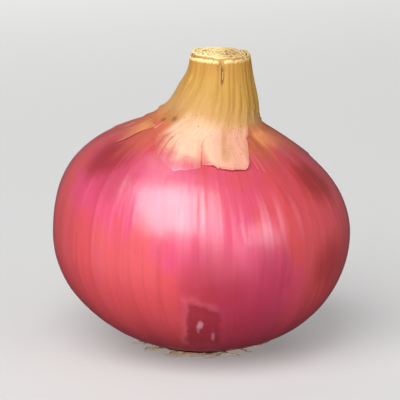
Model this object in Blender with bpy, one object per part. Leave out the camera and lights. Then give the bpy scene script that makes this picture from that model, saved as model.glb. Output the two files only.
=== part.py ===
"""An onion bulb, standing on its root plate: the round bulb, the dried neck and the root plate are
one closed body, as they grew. Metres, +Z up, origin at the middle of the root plate's flat underside.
"""

import math

import bmesh
import bpy
from mathutils import Vector
from mathutils.geometry import interpolate_bezier

MM = 0.001

# Driving sizes
BULB_RADIUS = 32.6 * MM
BELLY_HEIGHT = 25.5 * MM
TOTAL_HEIGHT = 65.3 * MM
NECK_TOP_RADIUS = 6.8 * MM
NECK_OFFSET = 4.6 * MM
ROOT_PLATE_RADIUS = 7.0 * MM
ROOT_PLATE_HEIGHT = 0.9 * MM
DEPTH_SHARE = 0.985

# Where each side of the silhouette turns, as distance from the axis and height, and how far the
# curve's handles reach from each turn. All in millimetres, and the slope is a direction.
LEFT_SIDE = {
    "toward_neck": -1,
    "under_reach": (8.0, 0.3),
    "below_belly": 14.4,
    "above_belly": 14.3,
    "shoulder": (14.8, 49.4),
    "shoulder_slope": (-0.944, 0.332),
    "before_shoulder": 11.7,
    "after_shoulder": 7.7,
    "neck_foot": (4.4, 58.3),
    "before_foot": (2.0, -4.0),
    "after_foot": (-0.7, 1.4),
}
RIGHT_SIDE = {
    "toward_neck": 1,
    "under_reach": (15.5, 0.3),
    "below_belly": 12.5,
    "above_belly": 10.2,
    "shoulder": (15.3, 48.2),
    "shoulder_slope": (-0.836, 0.548),
    "before_shoulder": 11.5,
    "after_shoulder": 2.4,
    "neck_foot": (12.6, 53.1),
    "before_foot": (0.05, -2.0),
    "after_foot": (-0.1, 3.5),
}
NECK_REACH = 3.0 * MM

# The rounded edge of the cut neck and the rings across it: how far in, and how much of the rounding
CUT_ROUNDING = 0.5 * MM
CUT_STEPS = ((0.15 * MM, 0.65), (0.5 * MM, 0.95), (2.4 * MM, 1.0), (4.8 * MM, 1.0))

# The root plate's bevel as a share of its height
PLATE_BEVEL = 1 / 3

# The broad faces that the inner scales press into the bulb
LOBES = ((3, 0.010, 0.6), (5, 0.006, 2.1), (8, 0.003, 4.0))

# Mesh density
SEGMENTS = 64
BELOW_BELLY_ROWS = 12
ABOVE_BELLY_ROWS = 13
FLARE_ROWS = 7
NECK_ROWS = 6
SHARP_ANGLE = math.radians(35)

# The skin's finish
SKIN_COLOUR = (0.68, 0.075, 0.12, 1.0)
SKIN_ROUGHNESS = 0.32


def clear_scene():
    """Removes whatever the file starts with."""
    for thing in list(bpy.data.objects):
        bpy.data.objects.remove(thing, do_unlink=True)


def millimetres(values):
    """A point or a direction given in millimetres, as a vector in metres."""
    return Vector(values) * MM


def stretch(start, leave, arrive, end, rows):
    """Points of one Bezier stretch as (distance from the axis, height), without its last point."""
    knots = [Vector((point[0], 0.0, point[1])) for point in (start, leave, arrive, end)]
    points = interpolate_bezier(*knots, rows + 1)
    return [(point.x, point.z) for point in points[:-1]]


def side_outline(side):
    """One side of the silhouette, from the root plate's edge up to the edge of the cut neck."""
    plate_top = Vector((ROOT_PLATE_RADIUS + ROOT_PLATE_HEIGHT, ROOT_PLATE_HEIGHT))
    belly = Vector((BULB_RADIUS, BELLY_HEIGHT))
    shoulder = millimetres(side["shoulder"])
    slope = Vector(side["shoulder_slope"])
    neck_foot = millimetres(side["neck_foot"])
    neck_edge = NECK_TOP_RADIUS + side["toward_neck"] * NECK_OFFSET
    neck_top = Vector((neck_edge, TOTAL_HEIGHT - CUT_ROUNDING))
    up = Vector((0.0, MM))

    rows = stretch(
        plate_top,
        plate_top + millimetres(side["under_reach"]),
        belly - up * side["below_belly"],
        belly,
        BELOW_BELLY_ROWS,
    )
    rows += stretch(
        belly,
        belly + up * side["above_belly"],
        shoulder - slope * side["before_shoulder"] * MM,
        shoulder,
        ABOVE_BELLY_ROWS,
    )
    rows += stretch(
        shoulder,
        shoulder + slope * side["after_shoulder"] * MM,
        neck_foot + millimetres(side["before_foot"]),
        neck_foot,
        FLARE_ROWS,
    )
    rows += stretch(
        neck_foot,
        neck_foot + millimetres(side["after_foot"]),
        neck_top - Vector((0.0, NECK_REACH)),
        neck_top,
        NECK_ROWS,
    )
    return rows + [tuple(neck_top)]


def plate_rows():
    """The root plate's rings, from near its middle out to its bevelled edge."""
    bevel = ROOT_PLATE_HEIGHT * PLATE_BEVEL
    return [
        (ROOT_PLATE_RADIUS / 2, 0.0),
        (ROOT_PLATE_RADIUS - bevel, 0.0),
        (ROOT_PLATE_RADIUS, bevel),
        (ROOT_PLATE_RADIUS + bevel, ROOT_PLATE_HEIGHT - bevel / 2),
    ]


def cut_rows(side):
    """The rings across the cut neck, from its rounded edge in towards its middle."""
    neck_edge = NECK_TOP_RADIUS + side["toward_neck"] * NECK_OFFSET
    base = TOTAL_HEIGHT - CUT_ROUNDING
    return [(neck_edge - inward, base + CUT_ROUNDING * rise) for inward, rise in CUT_STEPS]


def whole_side(side):
    """Every ring's point on one side, from the root plate to the cut neck."""
    return plate_rows() + side_outline(side) + cut_rows(side)


def swelling(angle, height):
    """Share by which the bulb stands out or in at an angle, fading towards the plate and the neck."""
    level = max(0.0, 1.0 - ((height - BELLY_HEIGHT) / BELLY_HEIGHT) ** 2)
    return level * sum(depth * math.sin(count * angle + phase) for count, depth, phase in LOBES)


def ring_point(left, right, angle):
    """A point of the slightly tilted ring whose diameter runs from the left outline to the right one."""
    toward_right = (1.0 + math.cos(angle)) / 2
    half_width = (left[0] + right[0]) / 2
    x = -left[0] + (left[0] + right[0]) * toward_right
    y = half_width * math.sin(angle) * DEPTH_SHARE
    z = left[1] + (right[1] - left[1]) * toward_right
    grown = 1.0 + swelling(angle, z)
    return Vector((x * grown, y * grown, z))


def make_bulb(collection):
    """The bulb: a sphere whose rings are moved onto the two outlines."""
    left, right = whole_side(LEFT_SIDE), whole_side(RIGHT_SIDE)
    shape = bmesh.new()
    steps = len(left) + 1
    bmesh.ops.create_uvsphere(shape, u_segments=SEGMENTS, v_segments=steps, radius=1.0)
    for vertex in shape.verts:
        from_south = math.pi - math.acos(max(-1.0, min(1.0, vertex.co.z)))
        ring = round(from_south / math.pi * steps)
        angle = math.atan2(vertex.co.y, vertex.co.x)
        if ring == 0:
            vertex.co = (0.0, 0.0, 0.0)
        elif ring == steps:
            vertex.co = (NECK_OFFSET, 0.0, TOTAL_HEIGHT)
        else:
            vertex.co = ring_point(left[ring - 1], right[ring - 1], angle)
    bmesh.ops.recalc_face_normals(shape, faces=shape.faces)
    mesh = bpy.data.meshes.new("bulb")
    shape.to_mesh(mesh)
    shape.free()
    mesh.shade_smooth()
    mesh.set_sharp_from_angle(angle=SHARP_ANGLE)
    bulb = bpy.data.objects.new("bulb", mesh)
    collection.objects.link(bulb)
    mesh.materials.append(skin_material())
    return bulb


def skin_material():
    """Pink-red onion skin with a waxy gloss."""
    material = bpy.data.materials.new("onion_skin")
    material.use_nodes = True
    shader = material.node_tree.nodes["Principled BSDF"]
    shader.inputs["Base Color"].default_value = SKIN_COLOUR
    shader.inputs["Roughness"].default_value = SKIN_ROUGHNESS
    shader.inputs["Metallic"].default_value = 0.0
    return material


def main():
    clear_scene()
    onion = bpy.data.collections.new("onion")
    bpy.context.scene.collection.children.link(onion)
    make_bulb(onion)


main()
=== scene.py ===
"""The looks of an onion: glossy pink-red skin, a papery collar round its cut neck, and dry roots."""

import math

import bmesh
import bpy
from bpy.props import FloatProperty, FloatVectorProperty, IntProperty, PointerProperty
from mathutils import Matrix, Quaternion, Vector


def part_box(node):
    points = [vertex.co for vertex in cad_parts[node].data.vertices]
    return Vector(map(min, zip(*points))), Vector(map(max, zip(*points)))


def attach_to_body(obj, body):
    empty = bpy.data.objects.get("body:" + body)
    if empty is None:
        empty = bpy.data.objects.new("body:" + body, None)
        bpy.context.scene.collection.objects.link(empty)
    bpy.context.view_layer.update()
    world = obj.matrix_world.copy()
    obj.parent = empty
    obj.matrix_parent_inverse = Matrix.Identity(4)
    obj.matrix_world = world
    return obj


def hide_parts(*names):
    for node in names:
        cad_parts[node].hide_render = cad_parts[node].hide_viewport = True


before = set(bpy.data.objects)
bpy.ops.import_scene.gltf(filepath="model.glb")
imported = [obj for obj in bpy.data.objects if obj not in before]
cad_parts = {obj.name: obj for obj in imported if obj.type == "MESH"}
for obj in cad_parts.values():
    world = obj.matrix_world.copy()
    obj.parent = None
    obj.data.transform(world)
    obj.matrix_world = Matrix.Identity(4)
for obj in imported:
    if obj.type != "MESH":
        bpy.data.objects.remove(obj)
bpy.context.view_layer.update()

bl_info = {
    "name": "Onion Looks",
    "version": (1, 0, 0),
    "blender": (4, 5, 0),
    "location": "3D View > Sidebar > Onion",
    "description": "Makes an onion's skin, papery collar, cut neck, root plate and dry roots",
    "category": "Object",
}

# One millimetre of the onion. All of its sizes are in these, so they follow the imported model.
DRAWN_HEIGHT = 65.3
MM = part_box("bulb")[1].z / DRAWN_HEIGHT

# The bulb's driving sizes
BULB_RADIUS = 32.6 * MM
BELLY_HEIGHT = 25.5 * MM
TOTAL_HEIGHT = DRAWN_HEIGHT * MM
NECK_TOP_RADIUS = 6.8 * MM
NECK_OFFSET = 4.6 * MM
ROOT_PLATE_RADIUS = 7.0 * MM
ROOT_PLATE_HEIGHT = 0.9 * MM
CUT_ROUNDING = 0.5 * MM
NECK_REACH = 3.0
DEPTH_SHARE = 0.985

# The broad faces that the inner scales press into the bulb: how many, how deep and where they start
LOBES = ((3, 0.010, 0.6), (5, 0.006, 2.1), (8, 0.003, 4.0))

# Where each side of the silhouette turns, as distance from the axis and height, and how far the
# curve's handles reach from each turn. All in millimetres, and the slope is a direction.
LEFT_SIDE = {
    "toward_neck": -1,
    "under_reach": (8.0, 0.3),
    "below_belly": 14.4,
    "above_belly": 14.3,
    "shoulder": (14.8, 49.4),
    "shoulder_slope": (-0.944, 0.332),
    "before_shoulder": 11.7,
    "after_shoulder": 7.7,
    "neck_foot": (4.4, 58.3),
    "before_foot": (2.0, -4.0),
    "after_foot": (-0.7, 1.4),
}
RIGHT_SIDE = {
    "toward_neck": 1,
    "under_reach": (15.5, 0.3),
    "below_belly": 12.5,
    "above_belly": 10.2,
    "shoulder": (15.3, 48.2),
    "shoulder_slope": (-0.836, 0.548),
    "before_shoulder": 11.5,
    "after_shoulder": 2.4,
    "neck_foot": (12.6, 53.1),
    "before_foot": (0.05, -2.0),
    "after_foot": (-0.1, 3.5),
}

# A place on the onion is an angle round its axis and a reach along its side, which counts the
# outline's stretches: 0 at the root plate, 1 at the belly, 2 at the shoulder, 3 at the neck's foot
# and 4 at the cut.
STRETCHES = 4

# Points of the outline's curve on each stretch, and how far apart the surface's slope is measured
GUIDE_STEPS = 64
SLOPE_STEP = 0.02

# How far apart random streaks are read on each axis, and how close two points are made one
STREAK_SHIFT = (1.0, 1.7, 2.3)
MERGED = 0.002 * MM

# The lowest edge of the papery collar, as an angle in degrees and a reach. The front follows the
# photograph: a broad thin tongue left of the middle, a firmer one right of it, and straw above.
COLLAR_EDGE = (
    (-180, 2.34), (-170, 2.28), (-160, 2.18), (-150, 2.12), (-140, 2.08), (-131, 2.00),
    (-125, 1.92), (-120, 1.85), (-114, 1.78), (-110, 1.74), (-107, 1.71), (-102, 1.69),
    (-96, 1.70), (-92, 1.72), (-89, 1.75), (-86, 1.77), (-83, 1.77), (-81, 1.75),
    (-78, 1.73), (-72, 1.72), (-66, 1.72), (-62, 1.76), (-58, 1.85), (-54, 1.93),
    (-48, 2.04), (-44, 2.35), (-41, 2.62), (-34, 2.85), (-20, 2.95), (-4, 2.80),
    (12, 2.50), (26, 2.12), (38, 1.86), (48, 1.80), (58, 1.95), (70, 2.30),
    (84, 2.42), (98, 2.20), (108, 1.90), (118, 1.74), (128, 1.80), (138, 2.05),
    (150, 2.28), (165, 2.38), (180, 2.34),
)
# How free that edge stands, by angle: 1 is a crisp lifted edge, 0 melts into the skin
COLLAR_FREEDOM = (
    (-180, 0.5), (-165, 0.15), (-145, 0.05), (-132, 0.1), (-120, 0.05), (-108, 0.0),
    (-94, 0.05), (-88, 0.25), (-84, 0.6), (-80, 1.0), (-62, 1.0), (-54, 0.85),
    (-46, 0.4), (-40, 0.1), (-20, 0.15), (0, 0.5), (30, 0.9), (60, 1.0),
    (90, 0.7), (115, 1.0), (140, 0.8), (160, 0.7), (180, 0.5),
)
# The thinner orange film under the collar: it folds back at the far left and melts away at the right
FILM_EDGE = (
    (-180, 1.92), (-172, 1.88), (-165, 1.84), (-160, 1.83), (-155, 1.83), (-152, 1.85),
    (-150, 1.89), (-148, 1.98), (-147, 2.06), (-144, 2.14), (-136, 2.17), (-128, 2.15),
    (-110, 2.05), (-96, 1.98), (-84, 2.00), (-72, 1.98), (-64, 1.86), (-58, 1.70),
    (-52, 1.66), (-46, 1.66), (-38, 1.69), (-32, 1.73), (-24, 1.76), (-16, 1.78),
    (-7, 1.76), (6, 1.70), (20, 1.62), (34, 1.58), (50, 1.72), (66, 1.86),
    (80, 1.76), (94, 1.62), (104, 1.58), (116, 1.66), (130, 1.84), (144, 1.88),
    (156, 1.84), (168, 1.88), (180, 1.92),
)
FILM_FREEDOM = (
    (-180, 0.0), (-162, 0.0), (-156, 0.1), (-152, 0.7), (-147, 0.8), (-142, 0.4),
    (-136, 0.1), (-120, 0.0), (-60, 0.0), (-30, 0.0), (-14, 0.0), (4, 0.0),
    (20, 0.5), (50, 0.4), (80, 1.0), (110, 0.8), (135, 0.4), (150, 0.6),
    (166, 0.2), (180, 0.0),
)
# Where the collar's cut top has a notch and where a short split starts below it, each as a share of
# the way round from the left, and that split's distance to the right of the middle in millimetres
NOTCH_TURN = 0.2475
CRACK_TURN = 0.2635
CRACK_X = 4.9
# How high the dry skirt climbs from the root plate, as an angle and a reach
SKIRT_EDGE = (
    (-180, 0.16), (-140, 0.10), (-100, 0.15), (-60, 0.09), (-20, 0.14), (20, 0.10),
    (60, 0.17), (100, 0.11), (140, 0.15), (180, 0.16),
)
SKIRT_FREEDOM = ((-180, 0.8), (-60, 0.6), (40, 1.0), (180, 0.8))

# Marks on the skin, in millimetres, read off the photograph through the camera

# The scar low at the front: its sides, how its top slopes, and the specks in it, each with a middle, a
# width and height, and how much it shows
SCAR_LEFT, SCAR_RIGHT, SCAR_LOW, SCAR_HIGH = -2.6, 4.6, 5.8, 17.6
SCAR_SLOPE = 0.35
SCAR_SPECKS = (
    ((0.1, -27.6, 11.8), (0.6, 1.0), 0.8),
    ((-0.3, -26.6, 10.4), (0.3, 1.0), 0.35),
    ((2.8, -24.8, 8.2), (0.4, 1.2), 0.5),
)
# Drips on the collar's tongue, each a middle with its width and height
DRIPS = (((5.5, -18.0, 46.5), (1.0, 1.1)), ((5.1, -15.2, 48.8), (0.55, 2.6)))
# Dark patches, partly the skin's own and partly painted shade on the shoulders, at the right and low at
# the front: a middle, how far they reach, and how dark they are
DARK_PATCHES_AND_PAINTED_SHADE = (
    ((-19.0, -13.6, 44.8), 5.8, 0.95),
    ((-17.8, -19.4, 41.0), 4.6, 0.4),
    ((24.5, -10.5, 39.0), 5.2, 0.9),
    ((27.5, -15.5, 22.5), 5.0, 0.6),
    ((5.0, -31.2, 19.5), 5.5, 0.4),
    ((8.0, -28.0, 12.0), 6.5, 0.3),
    ((2.4, -32.0, 26.0), 5.0, 0.36),
)
# Where the skin is more magenta, or more coral, as an angle and a half width in degrees, a reach and
# how far from it the zone ends, and how much it adds
HUE_ZONES = (
    (-128, 42, 1.5, 0.45, 0.34), (-80, 44, 1.1, 0.75, 0.1), (-126, 60, 0.75, 0.55, -0.34),
    (-170, 50, 1.1, 0.8, -0.2), (-24, 52, 1.1, 1.0, -0.4), (-63, 26, 0.95, 0.5, 0.3),
)
# Pale places under the collar's left side, given in the same way: a dusty patch, and below it a painted
# highlight that whitens the top of the key's highlight
DUST_AND_PAINTED_HIGHLIGHT = (((-8.2, -20.8, 46.0), 4.5, 0.6), ((-4.6, -25.2, 42.3), 4.5, 0.35))
# Brighter places in the film, and the brown stain and specks at the neck's foot
FILM_GLOWS = (((14.8, -8.2, 48.3), 3.4), ((18.2, -7.8, 45.8), 3.8), ((-14.5, -7.5, 50.5), 4.5))
NECK_STAIN = (-6.4, -7.2, 52.2)
NECK_SPECKS = (((-7.8, -6.6, 51.4), 0.8), ((-5.2, -7.9, 52.0), 0.75), ((-4.9, -7.6, 53.6), 0.5))


# Node building

class Value:
    """What a node puts out, so that sums made of nodes are written as arithmetic."""

    def __init__(self, nodes, socket):
        self.nodes = nodes
        self.socket = socket

    def __abs__(self):
        return self.nodes.math("ABSOLUTE", self)

    def cosine(self):
        """The cosine of an angle."""
        return self.nodes.math("COSINE", self)

    def sine(self):
        """The sine of an angle."""
        return self.nodes.math("SINE", self)

    def split(self):
        """A vector's three numbers."""
        node = self.nodes.tree.nodes.new("ShaderNodeSeparateXYZ")
        self.nodes.fill(node.inputs[0], self)
        return [Value(self.nodes, socket) for socket in node.outputs]

    def smooth(self, start, end, low=0.0, high=1.0):
        """Goes softly from low at start to high at end, and is level beyond both."""
        return self.ramp(start, end, low, high, "SMOOTHSTEP")

    def ramp(self, start, end, low=0.0, high=1.0, kind="LINEAR"):
        """Goes evenly from low at start to high at end, and is level beyond both."""
        ends = {"Value": self, "From Min": start, "From Max": end, "To Min": low, "To Max": high}
        return self.nodes.add("ShaderNodeMapRange", ends, interpolation_type=kind)

    def noise(self, scale=1.0, detail=2.0, rough=0.5, bend=0.0):
        """Soft random values from 0 to 1 at a place."""
        given = {"Vector": self, "Scale": scale, "Detail": detail, "Roughness": rough}
        return self.nodes.add("ShaderNodeTexNoise", {**given, "Distortion": bend})

    def spots(self, scale, start, end, detail=1.0):
        """Soft spots wherever random values pass from start to end."""
        return self.noise(scale, detail).smooth(start, end)

    def streaks(self, around, along, shift, detail=1.0, rough=0.5):
        """Random values along a meridian, which run from root to neck and close round the onion."""
        stretched = self.nodes.vector("MULTIPLY", self, (around, around, along))
        moved = self.nodes.vector("ADD", stretched, [shift * share for share in STREAK_SHIFT])
        return moved.noise(1.0, detail, rough)

    def line(self, width):
        """A thin line wherever a random value passes its middle: 1 on the line, 0 off it."""
        return abs(self - 0.5).smooth(0.0, width, 1.0, 0.0)

    def curve(self, points):
        """A drawn curve through points that lie between 0 and 1."""
        result = self.nodes.add("ShaderNodeFloatCurve", {"Value": self})
        mapping = result.socket.node.mapping
        drawn = mapping.curves[0].points
        while len(drawn) < len(points):
            drawn.new(0.5, 0.5)
        for knot, (x, y) in zip(drawn, points):
            knot.location = (x, y)
            knot.handle_type = "AUTO_CLAMPED"
        mapping.update()
        return result


def arithmetic(operation, turned):
    """A method of Value for one sum, with the other number first where it is turned."""
    def method(value, other):
        pair = (other, value) if turned else (value, other)
        return value.nodes.math(operation, *pair)

    return method


SUMS = {"add": "ADD", "sub": "SUBTRACT", "mul": "MULTIPLY", "truediv": "DIVIDE", "pow": "POWER"}
for word, operation in SUMS.items():
    setattr(Value, f"__{word}__", arithmetic(operation, False))
    setattr(Value, f"__r{word}__", arithmetic(operation, True))


class Nodes:
    """Adds nodes to one tree, and wires each as it is made."""

    def __init__(self, tree):
        self.tree = tree
        self.entry = None

    def add(self, kind, inputs=None, output=0, **settings):
        """A node with its settings and its inputs, by name or number. Gives one of its outputs."""
        node = self.tree.nodes.new(kind)
        for name, value in settings.items():
            setattr(node, name, value)
        usable = [socket for socket in node.inputs if socket.enabled]
        for name, value in (inputs or {}).items():
            named = [socket for socket in usable if socket.name == name]
            self.fill(usable[name] if isinstance(name, int) else named[0], value)
        if isinstance(output, str):
            return Value(self, node.outputs[output])
        return Value(self, [socket for socket in node.outputs if socket.enabled][output])

    def fill(self, socket, value):
        """Links a value to a socket, or sets the socket to a plain one."""
        if isinstance(value, Value):
            self.tree.links.new(value.socket, socket)
        elif socket.type == "RGBA":
            socket.default_value = (*value[:3], 1.0)
        else:
            socket.default_value = value

    def given(self, name):
        """One of the tree's own inputs."""
        if self.entry is None:
            self.entry = self.tree.nodes.new("NodeGroupInput")
        return Value(self, self.entry.outputs[name])

    def give(self, **results):
        """Sends values to the tree's outputs."""
        node = self.tree.nodes.new("NodeGroupOutput")
        for name, value in results.items():
            self.fill(node.inputs[name], value)

    def group(self, tree, inputs, output=0):
        """Another tree used as a node. Gives one of its outputs, or all of them."""
        node = self.tree.nodes.new("GeometryNodeGroup")
        node.node_tree = tree
        for name, value in inputs.items():
            self.fill(node.inputs[name], value)
        if output is None:
            return [Value(self, socket) for socket in node.outputs]
        return Value(self, node.outputs[output])

    def math(self, operation, *numbers):
        """One sum on numbers."""
        return self.add("ShaderNodeMath", dict(enumerate(numbers)), operation=operation)

    def vector(self, operation, *vectors, output=0):
        """One sum on vectors."""
        return self.add("ShaderNodeVectorMath", dict(enumerate(vectors)), output, operation=operation)

    def combine(self, x, y, z):
        """A vector from three numbers."""
        return self.add("ShaderNodeCombineXYZ", {"X": x, "Y": y, "Z": z})

    def blend(self, share, first, second, kind="FLOAT"):
        """Between two numbers, vectors or colours."""
        return self.add("ShaderNodeMix", {"Factor": share, "A": first, "B": second}, data_type=kind)

    def tint(self, share, first, second):
        """Lays one colour over another."""
        return self.blend(share, first, second, "RGBA")

    def coats(self, colour, *coats):
        """Lays several colours over one, each given as how much of it shows and the colour."""
        for share, over in coats:
            colour = self.tint(share, colour, over)
        return colour

    def most(self, first, second):
        """The larger of two numbers."""
        return self.math("MAXIMUM", first, second)


def new_tree(name, inputs, **outputs):
    """A node tree with named inputs, each a number to start from or a kind, and outputs by kind."""
    tree = bpy.data.node_groups.new(name, "GeometryNodeTree")
    for title, start in inputs.items():
        kind = start if isinstance(start, str) else KINDS[type(start)]
        socket = tree.interface.new_socket(name=title, in_out="INPUT", socket_type=kind)
        if kind != start:
            socket.default_value = start
    for title, kind in outputs.items():
        tree.interface.new_socket(name=title, in_out="OUTPUT", socket_type=kind)
    return Nodes(tree)


def made_once(name):
    """Builds a tree only where the file doesn't hold it yet."""
    def chosen(build):
        return lambda: bpy.data.node_groups.get(name) or build(name)

    return chosen


KINDS = {float: "NodeSocketFloat", int: "NodeSocketInt"}
OBJECT = "NodeSocketObject"
VECTOR = "NodeSocketVector"
GEOMETRY = "NodeSocketGeometry"
PAINTED = {"Material": "NodeSocketMaterial"}
OUTLINES = {"Left Outline": LEFT_SIDE, "Right Outline": RIGHT_SIDE}
GUIDES = dict.fromkeys(OUTLINES, OBJECT)


# The onion's surface

def across(values):
    """A point or a direction drawn in millimetres, as (distance from the axis, 0, height)."""
    return Vector((values[0], 0.0, values[1])) * MM


def outline_knots(side):
    """One side's Bezier knots, each as the handle before it, the knot and the handle after it."""
    plate = across((0, 0)) + Vector((ROOT_PLATE_RADIUS + ROOT_PLATE_HEIGHT, 0, ROOT_PLATE_HEIGHT))
    belly = Vector((BULB_RADIUS, 0, BELLY_HEIGHT))
    shoulder = across(side["shoulder"])
    slope = across(side["shoulder_slope"])
    foot = across(side["neck_foot"])
    edge = NECK_TOP_RADIUS + side["toward_neck"] * NECK_OFFSET
    top = Vector((edge, 0, TOTAL_HEIGHT - CUT_ROUNDING))
    up = across((0, 1))
    return (
        (plate, plate, plate + across(side["under_reach"])),
        (belly - up * side["below_belly"], belly, belly + up * side["above_belly"]),
        (
            shoulder - slope * side["before_shoulder"],
            shoulder,
            shoulder + slope * side["after_shoulder"],
        ),
        (foot + across(side["before_foot"]), foot, foot + across(side["after_foot"])),
        (top - up * NECK_REACH, top, top),
    )


def placed(name, data):
    """A new object in the scene."""
    thing = bpy.data.objects.new(name, data)
    bpy.context.scene.collection.objects.link(thing)
    return thing


def outline_guide(name, side):
    """The curve of one side of the silhouette, made once and used by every tree."""
    if name in bpy.data.objects:
        return bpy.data.objects[name]
    line = bpy.data.curves.new(name, "CURVE")
    line.dimensions = "3D"
    line.resolution_u = GUIDE_STEPS
    knots = outline_knots(side)
    spline = line.splines.new("BEZIER")
    spline.bezier_points.add(len(knots) - 1)
    for point, (before, place, after) in zip(spline.bezier_points, knots):
        point.handle_left_type = point.handle_right_type = "FREE"
        point.co, point.handle_left, point.handle_right = place, before, after
    guide = placed(name, line)
    guide.hide_render = True
    return guide


def guides():
    """Both outline curves, under the names of the trees' inputs."""
    return {name: outline_guide(name, side) for name, side in OUTLINES.items()}


def remove_guides():
    """Clears the outline curves away once every piece is made."""
    for name in OUTLINES:
        if name in bpy.data.objects:
            bpy.data.objects.remove(bpy.data.objects[name])


@made_once("Onion Point")
def point_tree(name):
    """The place on the onion at an angle and a reach: a slightly tilted ring between two outlines."""
    nodes = new_tree(name, {**GUIDES, "Angle": 0.0, "Reach": 0.0}, Position=VECTOR)
    angle, step = nodes.given("Angle"), nodes.given("Reach") * GUIDE_STEPS

    def side(name):
        """The outline's own point at this reach, as its distance from the axis and its height."""
        curve = nodes.add("GeometryNodeObjectInfo", {"Object": nodes.given(name)}, "Geometry")
        mesh = nodes.add("GeometryNodeCurveToMesh", {"Curve": curve})
        place = nodes.add("GeometryNodeInputPosition")
        found = []
        for index in (nodes.math("FLOOR", step), nodes.math("FLOOR", step) + 1.0):
            given = {"Geometry": mesh, "Value": place, "Index": index}
            sampled = nodes.add(
                "GeometryNodeSampleIndex", given, data_type="FLOAT_VECTOR", clamp=True
            )
            found.append(sampled)
        x, _, z = nodes.blend(nodes.math("FRACT", step), *found, kind="VECTOR").split()
        return x, z

    left_x, left_z = side("Left Outline")
    right_x, right_z = side("Right Outline")
    toward_right = angle.cosine() * 0.5 + 0.5
    width = left_x + right_x
    x = width * toward_right - left_x
    y = width * angle.sine() * (DEPTH_SHARE / 2)
    z = nodes.blend(toward_right, left_z, right_z)

    # The lobes fade towards the root plate and the neck
    level = abs((z - BELLY_HEIGHT) / BELLY_HEIGHT) ** 2.0
    level = nodes.most(1.0 - level, 0.0)
    swelling = None
    for count, depth, phase in LOBES:
        wave = (angle * float(count) + phase).sine() * depth
        swelling = wave if swelling is None else swelling + wave
    grown = level * swelling + 1.0
    nodes.give(Position=nodes.combine(x * grown, y * grown, z))
    return nodes.tree


@made_once("Onion Surface")
def surface_tree(name):
    """The place on the onion at an angle and a reach, and the way straight out from there."""
    inputs = {**GUIDES, "Angle": 0.0, "Reach": 0.0}
    nodes = new_tree(name, inputs, Position=VECTOR, Outward=VECTOR)
    angle, reach = nodes.given("Angle"), nodes.given("Reach")
    known = {name: nodes.given(name) for name in GUIDES}

    def point(turned, climbed):
        """The place at another angle or reach."""
        return nodes.group(point_tree(), {"Angle": turned, "Reach": climbed, **known})

    lower = nodes.most(reach - SLOPE_STEP, 0.0)
    upper = nodes.math("MINIMUM", reach + SLOPE_STEP, float(STRETCHES))
    before, after = point(angle - SLOPE_STEP, reach), point(angle + SLOPE_STEP, reach)
    round_it = nodes.vector("SUBTRACT", after, before)
    up_it = nodes.vector("SUBTRACT", point(angle, upper), point(angle, lower))
    outward = nodes.vector("NORMALIZE", nodes.vector("CROSS_PRODUCT", round_it, up_it))
    nodes.give(Position=point(angle, reach), Outward=outward)
    return nodes.tree


@made_once("Skin Relief")
def relief_tree(name):
    """How far the skin stands out or in, in millimetres: ribs, veins and folds along meridians."""
    inputs = {"Meridian": VECTOR, "Rib Height": 0.2, "Vein Height": 0.1}
    nodes = new_tree(name, inputs, Height=KINDS[float])
    meridian = nodes.given("Meridian")
    reach = meridian.split()[2]
    ribs = meridian.streaks(3.2, 0.35, 4.0) - 0.5
    narrow_ribs = meridian.streaks(8.0, 0.5, 9.0) - 0.5
    veins = skin_veins(meridian)
    folds = meridian.streaks(1.9, 0.45, 21.0, 2.0) - 0.5
    pleats = meridian.streaks(6.5, 0.5, 33.0) - 0.5
    on_bulb = reach.smooth(0.05, 0.6) * reach.smooth(3.2, 2.2)
    on_neck = reach.smooth(2.0, 3.2)
    height = (ribs * 1.6 + narrow_ribs * 0.5) * nodes.given("Rib Height") * on_bulb
    height = height + veins * nodes.given("Vein Height") * on_bulb
    height = height + (folds * 1.8 + pleats * 0.45) * on_neck

    # The dried neck shrinks in a little, which leaves room for the collar round it
    height = height - reach.smooth(2.9, 3.6) * 0.5
    nodes.give(Height=height)
    return nodes.tree


def skin_veins(meridian):
    """The skin's raised veins, 1 along each vein: the same lines in the mesh and the material."""
    wander = meridian.streaks(13.0, 0.55, 15.0, 0.0)
    return wander.line(0.035)


def polar(angle, reach):
    """The meridian that patterns are drawn along: cosine and sine of the angle, and the reach."""
    return angle.nodes.combine(angle.cosine(), angle.sine(), reach)


def store(nodes, geometry, name, value, kind="FLOAT_VECTOR"):
    """Keeps a value on the points, for the material to read."""
    given = {"Geometry": geometry, "Name": name, "Value": value}
    return nodes.add("GeometryNodeStoreNamedAttribute", given, data_type=kind, domain="POINT")


def set_position(nodes, geometry, place):
    """Moves every point of a geometry to its place."""
    return nodes.add("GeometryNodeSetPosition", {"Geometry": geometry, "Position": place})


def merged(nodes, mesh):
    """Joins the grid's two sides and closes its ends."""
    return nodes.add("GeometryNodeMergeByDistance", {"Geometry": mesh, "Distance": MERGED})


def finished(nodes, geometry):
    """The last steps of every tree: smooth shading, no instances left, and the material."""
    geometry = nodes.add("GeometryNodeSetShadeSmooth", {"Geometry": geometry})
    geometry = nodes.add("GeometryNodeRealizeInstances", {"Geometry": geometry})
    given = {"Geometry": geometry, "Material": nodes.given("Material")}
    nodes.give(Geometry=nodes.add("GeometryNodeSetMaterial", given))
    return nodes.tree


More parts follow.
